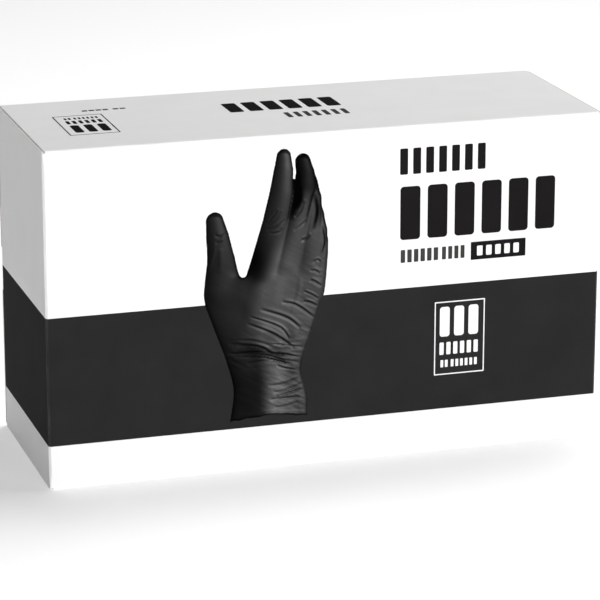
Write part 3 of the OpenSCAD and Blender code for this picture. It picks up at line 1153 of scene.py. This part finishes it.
def glove_loop(length, tall):
    """A flattened glove with its fingers folded back, drawn on [height, x] with its cuff at low x."""
    cuff_x, end_x = cuff_len - length / 2, length / 2
    narrow_x, wide_x = cuff_x - 5, cuff_x + 7
    return [
        (cuff_step, -end_x), (tall - cuff_step, -end_x), (tall - cuff_step, narrow_x), (tall, wide_x),
        *arc((tall - hand_r, end_x - hand_r), hand_r, 0, 90, 12),
        *arc((hand_r, end_x - hand_r), hand_r, 90, 90, 12),
        (0, wide_x), (cuff_step, narrow_x),
    ]


def folded_fingers(x, z, tall):
    """Relief from 0 to 1 of the fingers folded back over the palm of the last glove."""
    relief = np.zeros(x.shape)
    tips = (30.0, 22.0, 26.0, 40.0)
    for i, tip in enumerate(tips):
        z0 = tall * (i + 0.5) / len(tips)
        # The fingers run from the fold at high x and close up towards their tips
        chain = [(98, z0, 11.5), (60, z0 * 0.9 + 0.05 * tall, 10.5), (tip, z0 * 0.8 + 0.1 * tall, 8.5)]
        _, rise = finger_field(x, z, chain)
        relief = np.maximum(relief, np.clip(rise / 9, 0, 1) ** 0.5)
    return relief


def glove_layers(i, g, flat, low, high, last_glove):
    """Outer and inner points of glove g of bundle i, slipped and wavy at random."""
    length, tall = high[0] - low[0], high[2] - low[2]
    pitch = (high[1] - low[1]) / gloves_per_bundle
    rng = np.random.default_rng(100 * i + g)
    seed = 1000 + 40 * i
    z, x = flat[:, 0], flat[:, 1]
    # Each glove is a little smaller than its space, and its cuff shrinks further
    slip_x, slip_z = rng.uniform(-1.5, 1.5), rng.uniform(-0.7, 0.7)
    squeeze = 0.984 - 0.004 * rng.uniform(0, 1)
    shrink = rng.uniform(0, 0.05)
    from_cuff = x + length / 2
    near_cuff = bell(from_cuff, 0, 16)
    # Waves and ripples are a height times noise whose lumps have the given lengths
    wave = 0.3 * layered_noise(x / 38, z / 30, seed, 2)
    fine_wave = 0.13 * layered_noise(x / 12, z / 10, seed + 9 + g, 2)
    ripple = 1.1 * lattice_noise(z / 17, from_cuff / 30, seed + 300)
    fine_ripple = 0.35 * lattice_noise(z / 8, z * 0, seed + g)
    y = low[1] + pitch * (g + 0.5) + (wave + fine_wave) + (ripple + fine_ripple) * near_cuff
    if last_glove:
        crumple = 1 - np.abs(layered_noise((x + 0.6 * z) / 15, (z - 0.5 * x) / 9, 77, 4))
        y = y - 0.5 + 1.3 * folded_fingers(x, z, tall) + 0.75 * (crumple - 0.6)
    # The last glove may bulge further, into the free space behind the dispenser
    y = np.clip(y, nearest_y, farthest_y + (1.1 if last_glove else 0.4))
    # Cuffs are rolled and wavy along their rims, and some are narrower than others
    half = film_t / 2 * (1 + 0.9 * bell(from_cuff, 0, 0.9))
    tuck = 1.3 * (1 + lattice_noise(z / 21, z * 0, seed + 500 + g)) * bell(from_cuff, 0, 9)
    px = (-1 if i % 2 else 1) * (x * squeeze + slip_x + tuck)
    pz = low[2] + tall / 2 + (z - tall / 2) * (squeeze - shrink * near_cuff) + slip_z
    return np.stack([px, y + half, pz], 1), np.stack([px, y - half, pz], 1)


def make_bundle(i):
    """Ten thin gloves, one on another, whose rolled cuffs make a thicker edge."""
    low, high = corners(f"glove_bundle_{i}")
    length, tall = high[0] - low[0], high[2] - low[2]
    bead = [-length / 2 + d for d in (0.5, 1.0, 1.8)]
    coarse, fine = (flat_mesh([glove_loop(length, tall)], step, bead) for step in (coarse_step, fine_step))
    points, faces = [], []
    for g in range(gloves_per_bundle):
        last_glove = i == bundle_count and g == gloves_per_bundle - 1
        flat, triangles = fine if last_glove else coarse
        outer, inner = glove_layers(i, g, flat, low, high, last_glove)
        start = sum(len(p) for p in points)
        front, back, walls = closed_faces(outer, inner, triangles.tolist())
        points.append(np.concatenate([outer, inner]))
        faces += [[k + start for k in f] for f in front + back + walls]
    piece = add_object(f"gloves_{i}", np.concatenate(points), faces, [nitrile], smooth_angle=60)
    finished(piece, "nitrile_glove", "carton", f"glove_bundle_{i}")


nitrile = nitrile_material()
bundle_count = sum(name.startswith("glove_bundle") for name in frame["nodes"])
nearest_y = corners("glove_bundle_1")[0][1] - 0.2
farthest_y = corners(f"glove_bundle_{bundle_count}")[1][1]
for number in range(1, bundle_count + 1):
    make_bundle(number)


# ---- camera, floor and light
def aimed(data, place, target):
    """An object for a camera or light, turned from its place towards its target."""
    made = bpy.data.objects.new(data.name, data)
    made.location = place
    made.rotation_mode = "QUATERNION"
    made.rotation_quaternion = (Vector(target) - Vector(place)).to_track_quat("-Z", "Y")
    bpy.context.scene.collection.objects.link(made)
    return made


def make_camera():
    """Long lens on the front left, a little above the carton."""
    azimuth, elevation, distance = math.radians(-17.13), math.radians(16.47), 1.2433
    target = Vector((0.0006, 0, 0.05512))
    level = math.cos(elevation)
    back = Vector((math.sin(azimuth) * level, -math.cos(azimuth) * level, math.sin(elevation)))
    data = bpy.data.cameras.new("camera")
    data.lens = 185.6
    data.sensor_width = 36
    data.clip_start, data.clip_end = 0.05, 50
    bpy.context.scene.camera = aimed(data, target + back * distance, target)


def make_floor():
    """Large pale floor that glows, more so far away, so that it stays white round a soft shadow."""
    half = 6000.0
    verts = [(x, y, 0) for x, y in plain_box(-half, -half, half, half)]
    floor = add_object("floor", verts, [[0, 1, 2, 3]], [])
    made, node, wire, place = principled("floor_paper", (0.8, 0.8, 0.8), 0.9, 0.0)
    wire("Base Color", between(node, noise_of(node, place, 3.0), (0.79, 0.79, 0.79), (0.81, 0.81, 0.81)))
    distance = node("ShaderNodeVectorMath", [("operation", "LENGTH")], Vector=place).outputs["Value"]
    wire("Emission Strength", ranged(node, distance, 0.42, 0.95, 1.0, 2.0))
    made.node_tree.nodes["Principled BSDF"].inputs["Emission Color"].default_value = (1, 1, 1, 1)
    floor.data.materials.append(made)


def area_light(name, place, target, size, watts):
    """A rectangular light turned towards its target."""
    data = bpy.data.lights.new(name, "AREA")
    data.shape = "RECTANGLE"
    data.size, data.size_y = size
    data.energy = watts
    aimed(data, place, target)


def make_world():
    """Dim studio with a pale horizon."""
    world = bpy.data.worlds.new("studio")
    world.use_nodes = True
    bpy.context.scene.world = world
    node = node_adder(world.node_tree)
    direction = node("ShaderNodeTexCoord").outputs["Generated"]
    upward = node("ShaderNodeSeparateXYZ", Vector=direction).outputs["Z"]
    tone = between(node, upward, (1, 1, 1), (0.03, 0.03, 0.03), 0.06, 0.16)
    world.node_tree.links.new(tone, world.node_tree.nodes["Background"].inputs["Color"])


make_camera()
make_floor()
make_world()
area_light("overhead", (0.45, 0.3, 1.4), (0, 0, 0), (0.9, 0.9), 18.6)
area_light("front", (0.4, -2.6, 0.3), (0, 0, 0.067), (1.6, 0.5), 53)
bpy.context.scene.view_settings.view_transform = "Standard"
